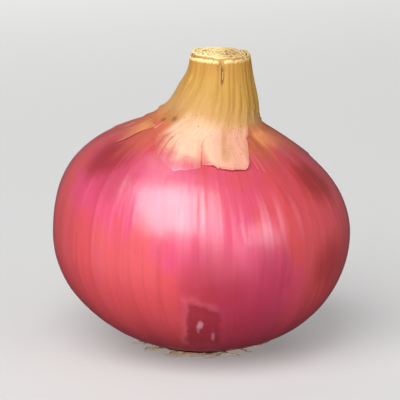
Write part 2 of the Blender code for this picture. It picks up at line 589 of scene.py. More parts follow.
def grown_piece(name, tree, material, values, wall=0.0):
    """A piece grown by a Geometry Nodes tree, with a wall's thickness if it is a sheet, as a mesh."""
    piece = placed(name, bpy.data.meshes.new(name))
    growth = piece.modifiers.new("Growth", "NODES")
    growth.node_group = tree
    values = {**values, "Material": material}
    for item in tree.interface.items_tree:
        if item.item_type == "SOCKET" and item.in_out == "INPUT" and item.name in values:
            growth[item.identifier] = values[item.name]
    if wall:
        thicken = piece.modifiers.new("Wall", "SOLIDIFY")
        thicken.thickness = wall
        thicken.offset = -1.0
    graph = bpy.context.evaluated_depsgraph_get()
    mesh = bpy.data.meshes.new_from_object(piece.evaluated_get(graph), depsgraph=graph)
    if not mesh.polygons:
        raise RuntimeError(f"{name} came out empty")
    piece.modifiers.clear()
    piece.data = mesh
    mesh.name = name

    # The grown faces come after an empty first slot, so the one material moves to the front
    mesh.materials.clear()
    mesh.materials.append(material)
    mesh.polygons.foreach_set("material_index", [0] * len(mesh.polygons))
    return piece


def as_inputs(settings):
    """Every value of a settings group, under its title. A tree takes those that it has inputs for."""
    names = settings.bl_rna.properties.keys()
    return {name.replace("_", " ").title(): getattr(settings, name) for name in names}


def attach(piece):
    """The piece rides on the onion's only body."""
    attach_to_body(piece, "root")


def centred_grid(nodes, columns, rows):
    """A grid whose columns go round and whose rows go along, with each point's share of both."""
    given = {"Vertices X": columns, "Vertices Y": rows}
    mesh = nodes.add("GeometryNodeMeshGrid", {"Size X": 1.0, "Size Y": 1.0, **given}, "Mesh")
    x, y, _ = nodes.add("GeometryNodeInputPosition").split()
    return mesh, x + 0.5, y + 0.5


def surface_and_relief(nodes, angle, reach, meridian):
    """The place at an angle and a reach, the way straight out, and the relief in millimetres."""
    known = {name: nodes.given(name) for name in GUIDES}
    given = {"Angle": angle, "Reach": reach, **known}
    place, outward = nodes.group(surface_tree(), given, None)
    heights = {name: nodes.given(name) for name in ("Rib Height", "Vein Height")}
    return place, outward, nodes.group(relief_tree(), {"Meridian": meridian, **heights})


def moved_out(nodes, place, outward, by):
    """A place moved straight out of the surface by so many millimetres."""
    by = by * MM
    return nodes.vector("ADD", place, nodes.vector("MULTIPLY", outward, nodes.combine(by, by, by)))


def scar_box(x, z, grow):
    """The scar's soft rectangle, grown at its left and its sloping top, for skin and material."""
    slope = z + (x - SCAR_LEFT) * SCAR_SLOPE
    left, top = SCAR_LEFT - grow, SCAR_HIGH + grow
    inside = x.smooth(left - 0.7, left + 0.7)
    inside = inside * x.smooth(SCAR_RIGHT + 0.9, SCAR_RIGHT - 0.9)
    inside = inside * slope.smooth(top + 0.9, top - 0.9)
    return inside * z.smooth(SCAR_LOW - 1.5, SCAR_LOW + 1.0)


# The bulb's skin

def bulb_tree():
    """The whole skin, from under the root plate over the belly and up into the cut neck."""
    inputs = {
        **GUIDES, "Columns": 400, "Rows": 200, "Rib Height": 0.2, "Vein Height": 0.1,
        "Cut Depth": 3.0 * MM, "Scar Depth": 0.16, **PAINTED,
    }
    nodes = new_tree("Onion Bulb", inputs, Geometry=GEOMETRY)
    mesh, turn, climb = centred_grid(nodes, nodes.given("Columns"), nodes.given("Rows"))
    under, inside = 0.02, 0.96
    angle = turn * math.tau
    reach = climb.ramp(under, inside, 0.0, float(STRETCHES))
    meridian = polar(angle, reach)
    place, outward, relief = surface_and_relief(nodes, angle, reach, meridian)

    # The scar low at the front is a shallow dent with a raised lip
    x, y, z = nodes.vector("MULTIPLY", place, (1 / MM, 1 / MM, 1 / MM)).split()
    dent = scar_box(x, z, 0.0) * 1.4 - scar_box(x, z, 0.9)
    relief = relief - dent * y.smooth(-14.0, -18.0) * nodes.given("Scar Depth")
    raised = moved_out(nodes, place, outward, relief)

    # Below the plate's edge the rings close in a flat floor, and past the cut they line a pit
    x, y, z = raised.split()
    floor_share = climb.ramp(0.0, under)
    pit_share = climb.ramp(inside, 1.0, 1.0, 0.0)
    pit_drop = pit_share.smooth(1.0, 0.8) * nodes.given("Cut Depth")
    x = ((x - NECK_OFFSET) * pit_share + NECK_OFFSET) * floor_share
    y = y * pit_share * floor_share
    rim = TOTAL_HEIGHT - CUT_ROUNDING
    z = (z - rim) * pit_share * floor_share + nodes.blend(floor_share, ROOT_PLATE_HEIGHT, rim)
    place = nodes.combine(x, y, z - pit_drop)
    mesh = store(nodes, mesh, "meridian", meridian)
    mesh = set_position(nodes, mesh, place)
    return finished(nodes, merged(nodes, mesh))


# Sheets of dry skin

# About how long a stretch of the outline is on the bulb and how wide the shoulder is, in millimetres
STRETCH_LENGTH = 26.0
SHOULDER_RADIUS = 18.0
STEEP_STEP = 0.004


def drawn_round(turn, knots):
    """A drawn curve round the onion through knots of angle and value."""
    values = [value for _, value in knots]
    low, high = min(values), max(values)
    drawn = [((degrees + 180) / 360, (value - low) / (high - low)) for degrees, value in knots]
    return turn.curve(drawn) * (high - low) + low


def sheet_tree(name, edge, freedom, anchor):
    """A sheet that lies on the bulb from an anchored ring to a ragged edge, lifted where it is free."""
    inputs = {
        **GUIDES, "Columns": 500, "Rows": 50, "Clearance": 0.25, "Fray": 0.05, "Splits": 0.1,
        "Lift": 0.6, "Rib Height": 0.2, "Vein Height": 0.1, "Shift": 0.0, "Torn Top": 0.0,
        **PAINTED,
    }
    nodes = new_tree(name, inputs, Geometry=GEOMETRY)
    mesh, turn, climb = centred_grid(nodes, nodes.given("Columns"), nodes.given("Rows"))
    angle = (turn - 0.5) * math.tau
    flat = polar(angle, nodes.given("Shift"))

    # The edge: a drawn curve, frayed finely and split here and there
    edge_reach = drawn_round(turn, edge)
    free = drawn_round(turn, freedom)
    fray = flat.streaks(16.0, 1.0, 3.0, 3.0, 0.65) - 0.5
    split = flat.streaks(5.0, 1.0, 7.0).line(0.012)
    split = split * flat.streaks(2.5, 1.0, 11.0).smooth(0.45, 0.6)
    inward = 1.0 if anchor > edge[0][1] else -1.0
    ragged = angle.sine().smooth(-0.3, 0.5, 1.0, 2.2)
    edge_reach = edge_reach + fray * ragged * nodes.given("Fray")
    edge_reach = edge_reach + split * nodes.given("Splits") * inward

    # Rows crowd towards the edge, where the detail is
    share = climb ** 1.5

    # The other end is ragged too where it is cut, with one deep notch at the front
    notch = abs(turn - NOTCH_TURN).smooth(0.011, 0.006)
    torn = flat.streaks(7.0, 1.0, 37.0, 3.0, 0.6).smooth(0.35, 0.7)
    top = anchor - (torn + notch * 2.0) * nodes.given("Torn Top")
    reach = nodes.blend(share, edge_reach, top)
    meridian = polar(angle, reach)
    place, outward, relief = surface_and_relief(nodes, angle, reach, meridian)

    # A short split down the front of the neck
    crack = meridian.streaks(9.0, 2.0, 43.0) * 0.006 + turn
    crack = abs(crack - CRACK_TURN).smooth(0.007, 0.002)
    crack = crack * reach.smooth(3.46, 3.6) * reach.smooth(3.93, 3.86)
    relief = relief - crack * 0.34

    # How far from the edge a point is, in millimetres, measured across it where it runs steeply
    near = drawn_round(turn + STEEP_STEP, edge) - drawn_round(turn - STEEP_STEP, edge)
    steep = near * STRETCH_LENGTH / (2 * STEEP_STEP * math.tau * SHOULDER_RADIUS)
    away = abs(reach - edge_reach) * STRETCH_LENGTH
    away = away / nodes.math("SQRT", steep * steep + 1.0)
    curl = flat.streaks(3.5, 1.0, 17.0, 2.0) ** 3.0 * 4.0
    lift = curl * nodes.given("Lift") * free * nodes.math("EXPONENT", away * -0.7)
    pucker = (meridian.streaks(11.0, 2.5, 27.0, 2.0) - 0.5) * 0.2
    pucker = pucker * away.smooth(9.0, 0.0) * (free * 0.8 + 0.2)

    # Where the edge isn't free it sinks just under the skin, so that no step shows
    sunk = free.smooth(0.45, 0.0) * nodes.math("EXPONENT", away * -0.8)
    gap = nodes.given("Clearance") - sunk * (nodes.given("Clearance") + 0.12)
    raised = moved_out(nodes, place, outward, relief + gap + lift + pucker)
    mesh = store(nodes, mesh, "meridian", meridian)
    mesh = store(nodes, mesh, "edge_distance", away, "FLOAT")
    mesh = store(nodes, mesh, "free", free, "FLOAT")
    mesh = set_position(nodes, mesh, raised)
    return finished(nodes, merged(nodes, mesh))


# The cut neck

# The way the dried layers are squashed, in radians round the neck
FLAT_TURN = 1.1


def sheaths_tree():
    """The dry leaf sheaths inside the neck: one wavy tube in another, each cut at its own height."""
    inputs = {
        "Count": 8, "Columns": 180, "Outer Radius": 6.8 * MM, "Core Radius": 0.6 * MM,
        "Depth": 3.0 * MM, "Unevenness": 0.5 * MM, "Waviness": 0.5 * MM, **PAINTED,
    }
    nodes = new_tree("Neck Sheaths", inputs, Geometry=GEOMETRY)
    count = nodes.given("Count")
    points = nodes.add("GeometryNodeMeshLine", {"Count": count, "Offset": (0.0, 0.0, 0.0)})
    share = nodes.add("GeometryNodeInputIndex") / (count - 1.0)
    points = store(nodes, points, "ring", share, "FLOAT")
    size = {"Vertices": nodes.given("Columns"), "Side Segments": 10, "Radius": 1.0, "Depth": 1.0}
    tube = nodes.add("GeometryNodeMeshCylinder", size, "Mesh", fill_type="NONE")
    given = {"Points": points, "Instance": tube}
    tubes = nodes.add("GeometryNodeInstanceOnPoints", given)
    tubes = nodes.add("GeometryNodeRealizeInstances", {"Geometry": tubes})

    ring = nodes.add("GeometryNodeInputNamedAttribute", {"Name": "ring"}, data_type="FLOAT")
    x, y, z = nodes.add("GeometryNodeInputPosition").split()
    angle = nodes.math("ARCTAN2", y, x)
    climb = z + 0.5
    flat = polar(angle, ring * 9.0)
    wave = flat.streaks(1.3, 1.0, 5.0, 2.0) - 0.5
    crumple = flat.streaks(5.0, 1.0, 14.0, 1.0) - 0.5
    radius = nodes.blend(ring, nodes.given("Outer Radius"), nodes.given("Core Radius"))
    loose = ring.smooth(0.0, 0.3, 0.35, 1.0) * radius.smooth(0.0, 2.5 * MM)
    radius = radius + (wave * 2.2 + crumple * 0.9) * nodes.given("Waviness") * loose

    # The dried layers lie flatter towards the middle
    flat_side = (angle - FLAT_TURN).cosine() ** 2.0
    radius = radius * (1.0 - flat_side * ring.smooth(0.0, 0.9) * 0.55)
    uneven = flat.streaks(2.6, 1.0, 23.0, 3.0, 0.6) - 0.5
    tip = nodes.given("Unevenness") * uneven * 2.0 + (TOTAL_HEIGHT - 0.35 * MM)
    tip = tip - ring.smooth(0.1, 1.0) * 0.7 * MM
    tip = tip + (1.0 - angle.cosine()) * 0.3 * MM
    height = nodes.blend(climb, TOTAL_HEIGHT - nodes.given("Depth"), tip)
    place = nodes.combine(
        angle.cosine() * radius + NECK_OFFSET, angle.sine() * radius, height
    )
    tubes = store(nodes, tubes, "meridian", flat)
    tubes = store(nodes, tubes, "climb", climb, "FLOAT")
    tubes = set_position(nodes, tubes, place)
    return finished(nodes, tubes)


# The root end

# Points along each dry root and round it
ROOT_POINTS = 13
ROOT_SIDES = 6


def plate_tree():
    """The corky root plate: a flat underside with pits and ridges, closed over its top."""
    inputs = {
        "Columns": 200, "Rows": 60, "Radius": 7.6 * MM, "Height": 1.3 * MM, "Pit Depth": 0.35 * MM,
        **PAINTED,
    }
    nodes = new_tree("Root Plate", inputs, Geometry=GEOMETRY)
    mesh, turn, climb = centred_grid(nodes, nodes.given("Columns"), nodes.given("Rows"))
    angle = turn * math.tau
    side_start, side_end = 0.72, 0.9
    spread = climb.ramp(0.0, side_start)
    closing = climb.ramp(side_end, 1.0, 1.0, 0.0)
    meridian = polar(angle, spread)
    ragged = (meridian.streaks(4.5, 0.5, 31.0, 3.0) - 0.5) * 0.1 + 1.0
    radius = nodes.given("Radius") * spread * closing * ragged
    bulge = climb.ramp(side_start, side_end)
    radius = radius + (bulge * math.pi).sine() * 0.35 * MM
    x = angle.cosine() * radius
    y = angle.sine() * radius
    flat = nodes.combine(x / MM, y / MM, 0.0)
    pits = flat.noise(0.9, 3.0, 0.6).smooth(0.5, 0.72)
    grooves = meridian.streaks(7.0, 0.6, 41.0, 2.0)
    rim = spread.smooth(0.82, 1.0)
    dug = (pits * 0.8 + grooves.smooth(0.5, 0.75) * 0.5) * nodes.given("Pit Depth")
    dug = dug * spread.smooth(0.0, 0.12)
    z = dug * (1.0 - bulge) + rim * 0.25 * MM * (1.0 - bulge)
    z = nodes.blend(bulge, z, nodes.given("Height"))
    mesh = store(nodes, mesh, "meridian", meridian)
    mesh = set_position(nodes, mesh, nodes.combine(x, y, z))
    return finished(nodes, merged(nodes, mesh))


def roots_tree():
    """Dry roots that leave the plate's edge and lie in the gap between the bulb and the floor."""
    inputs = {
        "Count": 160, "Bulb": OBJECT, "Start Radius": 6.4 * MM, "Shortest": 1.5 * MM,
        "Longest": 6.0 * MM, "Thickness": 0.4 * MM, "Curl": 1.0, "Seed": 3, **PAINTED,
    }
    nodes = new_tree("Dry Roots", inputs, Geometry=GEOMETRY)
    number = nodes.add("GeometryNodeInputIndex")
    given = {"Count": nodes.given("Count"), "Offset": (0.0, 0.0, 0.0)}
    line = store(nodes, nodes.add("GeometryNodeMeshLine", given), "strand", number, "FLOAT")
    ends = {"Start": (0.0, 0.0, 0.0), "End": (1.0, 0.0, 0.0)}
    stem = nodes.add("GeometryNodeCurvePrimitiveLine", ends)
    stem = nodes.add("GeometryNodeResampleCurve", {"Curve": stem, "Count": ROOT_POINTS})
    stems = nodes.add("GeometryNodeInstanceOnPoints", {"Points": line, "Instance": stem})
    stems = nodes.add("GeometryNodeRealizeInstances", {"Geometry": stems})

    strand = nodes.add("GeometryNodeInputNamedAttribute", {"Name": "strand"}, data_type="FLOAT")
    along = nodes.add("GeometryNodeSplineParameter", output="Factor")

    def chance(offset, low, high):
        """A random number for each root."""
        given = {"Min": low, "Max": high, "ID": strand, "Seed": nodes.given("Seed") + float(offset)}
        return nodes.add("FunctionNodeRandomValue", given, data_type="FLOAT")

    angle = strand * (math.tau / nodes.given("Count")) + chance(1, -0.12, 0.12)
    eager = chance(2, 0.0, 1.0) ** 2.2
    length = nodes.blend(eager, nodes.given("Shortest"), nodes.given("Longest"))
    start = nodes.given("Start Radius") + chance(3, -0.3, 1.5) * MM
    curl = nodes.given("Curl")
    wander = nodes.combine(strand * 7.3, along * 2.2, 0.0).noise(1.0, 2.0) - 0.5
    sway = chance(4, -0.9, 0.9) * along * curl + wander * 2.0 * along * curl
    radius = start + length * along * (1.0 - abs(sway) * 0.25)
    turned = angle + sway * length * along / radius
    x = turned.cosine() * radius
    y = turned.sine() * radius

    # Each point stays above the floor and below the bulb's underside
    body = nodes.add("GeometryNodeObjectInfo", {"Object": nodes.given("Bulb")}, "Geometry")
    given = {"Target Geometry": body, "Source Position": nodes.combine(x, y, 0.01 * MM)}
    given.update({"Ray Direction": (0.0, 0.0, 1.0), "Ray Length": 60 * MM})
    room = nodes.add("GeometryNodeRaycast", given, "Hit Distance")
    thick = nodes.given("Thickness") * chance(5, 0.55, 1.25) * (1.0 - along * 0.55)
    bounce = nodes.combine(strand * 3.1, along * 3.0, 5.0).noise(1.0, 1.0)
    rise = chance(6, 0.15, 0.95) * MM * (1.0 - along * 0.75) + bounce * 0.9 * MM * along
    rise = nodes.math("MINIMUM", rise, room - thick * 0.7)
    rise = nodes.most(rise, thick * 0.55)
    stems = set_position(nodes, stems, nodes.combine(x, y, rise))
    stems = store(nodes, stems, "root", nodes.combine(along, chance(7, 0.0, 1.0), 0.0))
    round_it = {"Resolution": ROOT_SIDES, "Radius": 1.0}
    profile = nodes.add("GeometryNodeCurvePrimitiveCircle", round_it)
    given = {"Curve": stems, "Profile Curve": profile, "Scale": thick * 0.5, "Fill Caps": True}
    return finished(nodes, nodes.add("GeometryNodeCurveToMesh", given))


# Materials

def new_material(name, roughness, **shine):
    """A Principled material and its nodes. Whatever is even all over is set on its own socket."""
    material = bpy.data.materials.new(name)
    material.use_nodes = True
    shader = material.node_tree.nodes["Principled BSDF"]
    shader.inputs["Roughness"].default_value = roughness
    for socket, value in shine.items():
        shader.inputs[socket.replace("_", " ")].default_value = value
    return material, shader, Nodes(material.node_tree)


def attribute(nodes, name, output="Vector"):
    """A value that the mesh carries."""
    return nodes.add("ShaderNodeAttribute", output=output, attribute_name=name)


def object_place(nodes):
    """The point's place on the onion, in millimetres."""
    place = nodes.add("ShaderNodeTexCoord", output="Object")
    return nodes.vector("MULTIPLY", place, (1 / MM, 1 / MM, 1 / MM))


def patch(place, centre, radius, wobble, softness=0.5):
    """A soft patch round a point, 1 in its middle, with an edge that wanders."""
    away = place.nodes.vector("DISTANCE", place, centre, output="Value")
    away = away + (wobble - 0.5) * radius * 1.4
    return away.smooth(radius * (1 + softness), radius * (1 - softness))


def speck(place, centre, size, wobble):
    """A small upright mark on the front, as wide and as high as its size."""
    nodes = place.nodes
    away = nodes.vector("SUBTRACT", place, centre)
    away = nodes.vector("MULTIPLY", away, (1 / size[0], 0.2, 1 / size[1]))
    return (nodes.vector("LENGTH", away, output="Value") + (wobble - 0.5)).smooth(1.5, 0.5)


def facing(meridian, degrees, half_width, core=0.0):
    """1 on the side that looks towards an angle, within its core, fading to 0 half_width away."""
    direction = (math.cos(math.radians(degrees)), math.sin(math.radians(degrees)), 0.0)
    around = meridian.nodes.vector("MULTIPLY", meridian, (1.0, 1.0, 0.0))
    toward = meridian.nodes.vector("DOT_PRODUCT", around, direction, output="Value")
    return toward.smooth(math.cos(math.radians(half_width)), math.cos(math.radians(core)))


def zone(meridian, degrees, half_width, middle, spread):
    """1 round an angle and a reach, fading to 0 half_width degrees or spread of reach away."""
    reach = meridian.split()[2]
    level = abs(reach - middle).smooth(spread, 0.0)
    return facing(meridian, degrees, half_width) * level


def bump(nodes, shader, height, distance, strength=1.0, layer="Normal"):
    """Fine relief, too small for the mesh."""
    given = {"Strength": strength, "Distance": distance, "Height": height}
    nodes.fill(shader.inputs[layer], nodes.add("ShaderNodeBump", given))


def skin_pattern(nodes, meridian, place, look):
    """The skin's colour and roughness: coral to magenta streaks, darker patches, a tan root end."""
    reach = meridian.split()[2]
    cloud = place.noise(0.055, 3.0, 0.55, 0.6)
    small_cloud = place.noise(0.22, 3.0, 0.6)
    broad = meridian.streaks(2.4, 0.5, 51.0, 2.0)
    middle = meridian.streaks(7.0, 0.7, 57.0, 3.0, 0.6)
    fine = meridian.streaks(24.0, 0.9, 61.0, 2.0)
    thread = meridian.streaks(60.0, 1.4, 67.0)
    veins = skin_veins(meridian)

    # Coral where the skin is thick, magenta where the flesh shows through
    hue = broad * 0.5 + middle * 0.3 + (cloud - 0.5) * 0.8 + (small_cloud - 0.5) * 0.4 + 0.1
    for *where, share in HUE_ZONES:
        hue = hue + zone(meridian, *where) * share
    colour = nodes.tint(hue.smooth(0.36, 0.68), look.coral, look.magenta)
    pale = middle.smooth(0.5, 0.7) * reach.smooth(0.5, 1.1)
    # Pale pink streaks at the front, right of the key's highlight: a painted highlight
    streaks = meridian.streaks(12.0, 0.5, 91.0).smooth(0.42, 0.6)
    streaks = streaks * zone(meridian, -74, 36, 1.28, 0.32)
    deep = fine.smooth(0.5, 0.72) * small_cloud.smooth(0.35, 0.65)
    colour = nodes.coats(
        colour,
        (pale * 0.16, look.pale_pink),
        (streaks * 0.75, look.pale_pink),
        (deep * 0.2, look.crimson),
        (thread.smooth(0.5, 0.7) * 0.12, look.crimson),
        (veins * 0.14, look.crimson),
    )
    # The first is a dusty patch, the second a painted highlight at the top of the key's highlight
    for centre, radius, strength in DUST_AND_PAINTED_HIGHLIGHT:
        dust_and_highlight = patch(place, centre, radius, small_cloud, 0.6)
        colour = nodes.tint(dust_and_highlight * strength, colour, look.pale_pink)

    # Darker crimson low at the front, with a clear left side, partly a darker scale and partly painted
    # shade, and darker scales like it behind
    berry = facing(meridian, -76, 28, 8)
    berry = (berry + (middle - 0.5) * 0.9 + (small_cloud - 0.5) * 0.5).smooth(0.05, 0.8)
    berry = berry * (reach + (cloud - 0.5) * 0.35).smooth(1.2, 0.9)
    others = meridian.streaks(1.8, 0.5, 111.0).smooth(0.5, 0.62)
    others = others * facing(meridian, 90, 110) * (0.25 + broad * 0.5)

    # Darker patches: on the shoulders, at the right and low at the front, partly painted shade, and
    # others round the back
    wobble = small_cloud * 0.5 + middle * 0.5
    shade = place.spots(0.07, 0.54, 0.7, 2.0) * facing(meridian, 90, 100) * 0.8
    for centre, radius, depth in DARK_PATCHES_AND_PAINTED_SHADE:
        shade = nodes.most(shade, patch(place, centre, radius, wobble, 0.6) * depth)

    # The skin turns darker crimson towards the underside, which is painted shade. Orange runs down from
    # under the collar, and the root end turns tan where every vein meets
    low = (reach + (broad - 0.5) * 0.5).smooth(0.8, 0.2)
    runs = (reach + (middle - 0.5) * 0.9 + (cloud - 0.5) * 0.4).smooth(1.7, 2.1)
    straw = (reach + (fine - 0.5) * 0.3).smooth(2.3, 2.9)
    tan = (reach + (fine - 0.5) * 0.22 + (thread - 0.5) * 0.1).smooth(0.2, 0.03)

    # An old scar low at the front: a dark sunken patch, a painted highlight along its left and top lip,
    # and pale specks
    scar, lip_highlight = scar_marks(nodes, place)
    colour = nodes.coats(
        colour,
        (nodes.most(berry * 0.62, others), look.berry),
        (shade * 0.8, look.plum),
        (low * 0.8, look.crimson),
        (runs * 0.62, look.orange),
        (straw, look.straw),
        (tan * 0.85, look.tan),
        (lip_highlight * 0.22, look.pale_pink),
        (scar * 0.6, look.blotch),
    )
    ragged = place.noise(0.9, 2.0)
    for centre, size, strength in SCAR_SPECKS:
        shown = speck(place, centre, size, ragged) * strength
        colour = nodes.tint(shown, colour, look.speck)
    colour = nodes.tint(place.spots(1.9, 0.72, 0.8) * 0.5, colour, look.plum)

    rough = 0.3 + (middle * 0.5 + fine * 0.5) * 0.16 + scar * 0.12
    rough = rough + reach.smooth(0.3, 0.0) * 0.3 + straw * 0.3
    grain = thread * 0.35 + fine * 0.5 + place.noise(2.2, 3.0, 0.6) * 0.25
    return colour, rough, grain + lip_highlight * 0.7 - scar * 1.4


def scar_marks(nodes, place):
    """The scar's sunken patch, a rough rectangle, and the painted highlight along its left and top lip.
    """
    wander = place.noise(0.45, 3.0, 0.6)
    given = {"Vector": place, "Scale": 0.45, "Detail": 3.0}
    drift = nodes.add("ShaderNodeTexNoise", given, "Color")
    drift = nodes.vector("SUBTRACT", drift, (0.5, 0.5, 0.5))
    moved = nodes.vector("ADD", place, nodes.vector("MULTIPLY", drift, (3.2, 0.0, 3.2)))
    x, y, z = moved.split()
    front = y.smooth(-14.0, -18.0)
    scar = scar_box(x, z, 0.0) * front
    lip_highlight = scar_box(x, z, 1.1) * front * (1.0 - scar)
    scar = scar * (0.5 + wander * 0.7)
    return nodes.math("MINIMUM", scar, 1.0), lip_highlight


# The waxy finish of the skin, which a sheet shares wherever the skin shows through it
WAX = {
    "Coat_Weight": 1.0, "Coat_Roughness": 0.28, "Coat_IOR": 1.78, "Specular_IOR_Level": 0.3,
    "Subsurface_Weight": 0.08, "Subsurface_Scale": 1.2 * MM, "Subsurface_Radius": (1.0, 0.35, 0.25),
}
GRAIN_DEPTH = 0.09 * MM


def skin_material(look):
    """Thin glossy onion skin."""
    material, shader, nodes = new_material("onion_gloss", 0.3, **WAX)
    meridian = attribute(nodes, "meridian")
    colour, rough, grain = skin_pattern(nodes, meridian, object_place(nodes), look)
    nodes.fill(shader.inputs["Base Color"], colour)
    nodes.fill(shader.inputs["Roughness"], rough)
    fine_relief(nodes, shader, grain)
    return material


def fine_relief(nodes, shader, grain):
    """The grain of the skin, and gentle dents that the waxy gloss follows."""
    bump(nodes, shader, grain, GRAIN_DEPTH, 0.7)
    dents = object_place(nodes).noise(0.26, 2.0)
    bump(nodes, shader, grain + dents * 3.0, GRAIN_DEPTH / 2, 0.6, "Coat Normal")


def paper_material(look, skin_look):
    """The dry papery collar: straw on the neck, peach below, and pink where the skin shows through."""
    material, shader, nodes = new_material("onion_paper", 0.5, **WAX)
    meridian = attribute(nodes, "meridian")
    reach = meridian.split()[2]
    place = object_place(nodes)
    cloud = place.noise(0.16, 3.0, 0.55)
    small_cloud = place.noise(0.55, 3.0, 0.6)
    broad = meridian.streaks(2.6, 0.7, 71.0, 2.0)
    middle = meridian.streaks(8.0, 0.8, 73.0, 3.0, 0.6)
    fine = meridian.streaks(26.0, 1.6, 79.0, 3.0, 0.6)

    # Peach at the front and in broad streaks behind, and orange at both sides
    front = facing(meridian, -88, 48).smooth(0.0, 0.35)
    dull = nodes.most(facing(meridian, -18, 60), facing(meridian, -172, 46))
    peachy = nodes.most(front, broad.smooth(0.5, 0.62) * (1.0 - dull))
    climb = reach + (middle - 0.5) * 0.5 + (cloud - 0.5) * 0.3
    rim = (reach + (middle - 0.5) * 0.12).smooth(3.88, 3.95)

    # Fibres, stains and brown specks
    stain = (small_cloud * 0.6 + middle * 0.4).smooth(0.54, 0.68)
    wobble = small_cloud * 0.5 + middle * 0.5
    colour = nodes.coats(
        look.orange,
        (peachy, look.peach),
        (facing(meridian, -58, 30) * 0.9, look.salmon),
        (climb.smooth(2.05, 2.7), look.light_straw),
        (climb.smooth(2.5, 3.3), look.straw),
        ((reach + (broad - 0.5) * 0.6).smooth(3.4, 3.8) * 0.6, look.ochre),
        # Cream on the cut rim, stronger towards the left: partly the cut's own colour, partly painted
        # light
        (rim * (0.45 + facing(meridian, -135, 80) * 0.5), look.cream),
        (fine.smooth(0.5, 0.72) * 0.24, look.ochre),
        (stain * 0.3, look.ochre),
        (place.spots(1.3, 0.7, 0.76) * 0.6, look.brown),
        (patch(place, NECK_STAIN, 2.6, wobble, 0.8) * 0.3, look.brown),
    )
    for centre, radius in NECK_SPECKS:
        shown = patch(place, centre, radius, small_cloud) * 0.8
        colour = nodes.tint(shown, colour, look.brown)
    for centre, size in DRIPS:
        colour = nodes.tint(speck(place, centre, size, small_cloud) * 0.42, colour, look.ochre)

    # The short split in the neck is painted dark brown along its line: painted shade in the split
    x, y, z = place.split()
    away = abs(x - CRACK_X + (small_cloud - 0.5) * 0.8)
    crack = away.smooth(0.42, 0.12) * y.smooth(-3.0, -5.0)
    crack = crack * z.smooth(59.0, 60.0) * z.smooth(63.6, 62.8)
    colour = nodes.tint(crack * 0.85, colour, look.brown)

    # Thin places let the skin below show, most of all where the edge melts away
    opaque, edge, under = see_through(nodes, meridian, place, skin_look, 6.0, 0.9)
    opaque = nodes.most(opaque, reach.smooth(2.1, 2.5))
    # The torn edge turns paler: partly the thin paper's own colour, partly a painted highlight along the
    # free edge
    colour = nodes.tint(edge * 0.3, colour, look.edge)
    crease = nodes.vector("MULTIPLY", place, (1.0, 1.0, 0.5)).noise(1.4, 3.0, 0.6, 0.8)
    grain = fine * 1.3 + crease * 0.9 - crack * 1.6
    lay_over(nodes, shader, opaque, under, (colour, 0.42 + fine * 0.25, grain), 0.0)
    return material


def lay_over(nodes, shader, opaque, under, sheet, wax):
    """Shows a sheet's colour, roughness and grain where it is opaque, and the skin's elsewhere."""
    nodes.fill(shader.inputs["Base Color"], nodes.tint(opaque, under[0], sheet[0]))
    nodes.fill(shader.inputs["Roughness"], nodes.blend(opaque, under[1], sheet[1]))
    nodes.fill(shader.inputs["Coat Weight"], nodes.blend(opaque, 1.0, wax))
    fine_relief(nodes, shader, nodes.blend(opaque, under[2], sheet[2]))


def see_through(nodes, meridian, place, skin_look, soft_width, crisp_width):
    """How opaque a sheet is, its very edge, and the skin's own pattern under it."""
    away = attribute(nodes, "edge_distance", "Fac")
    free = attribute(nodes, "free", "Fac")
    small_cloud = place.noise(0.4, 3.0, 0.6)
    streak = meridian.streaks(9.0, 0.8, 95.0, 3.0, 0.6)
    width = nodes.blend(free.smooth(0.0, 1.0), soft_width, crisp_width)
    ragged = away + ((small_cloud - 0.5) * 0.6 + (streak - 0.5) * 0.8) * width
    opaque = ragged.smooth(0.0, width, nodes.blend(free, 0.0, 0.6), 1.0)
    edge = away.smooth(0.3, 0.05) * free
    return opaque, edge, skin_pattern(nodes, meridian, place, skin_look)


def film_material(look, skin_look):
    """The orange film under the collar, thin enough for the pink skin to show through."""
    material, shader, nodes = new_material("onion_film", 0.4, **WAX)
    meridian = attribute(nodes, "meridian")
    place = object_place(nodes)
    reach = meridian.split()[2]
    cloud = place.noise(0.18, 3.0, 0.6)
    middle = meridian.streaks(8.0, 0.9, 97.0, 3.0, 0.6)
    fine = meridian.streaks(30.0, 1.4, 101.0, 2.0)
    wobble = cloud * 0.5 + middle * 0.5
    colour = nodes.coats(
        look.orange,
        (wobble.smooth(0.42, 0.66), look.rust),
        ((reach + (middle - 0.5) * 0.7).smooth(2.1, 2.7), look.light_straw),
        (fine.smooth(0.5, 0.72) * 0.3, look.rust),
    )
    for centre, radius in FILM_GLOWS:
        glow = patch(place, centre, radius, wobble)
        colour = nodes.tint(glow * 0.85, colour, look.amber)
    colour = nodes.tint(place.spots(1.1, 0.7, 0.77) * 0.6, colour, look.brown)
    opaque, edge, under = see_through(nodes, meridian, place, skin_look, 9.0, 1.6)
    # The torn edge turns paler: partly the thin paper's own colour, partly a painted highlight along the
    # free edge
    colour = nodes.tint(edge * 0.5, colour, look.edge)
    grain = fine * 0.9 + cloud * 0.4
    lay_over(nodes, shader, opaque * 0.88, under, (colour, 0.38 + fine * 0.2, grain), 0.3)
    return material


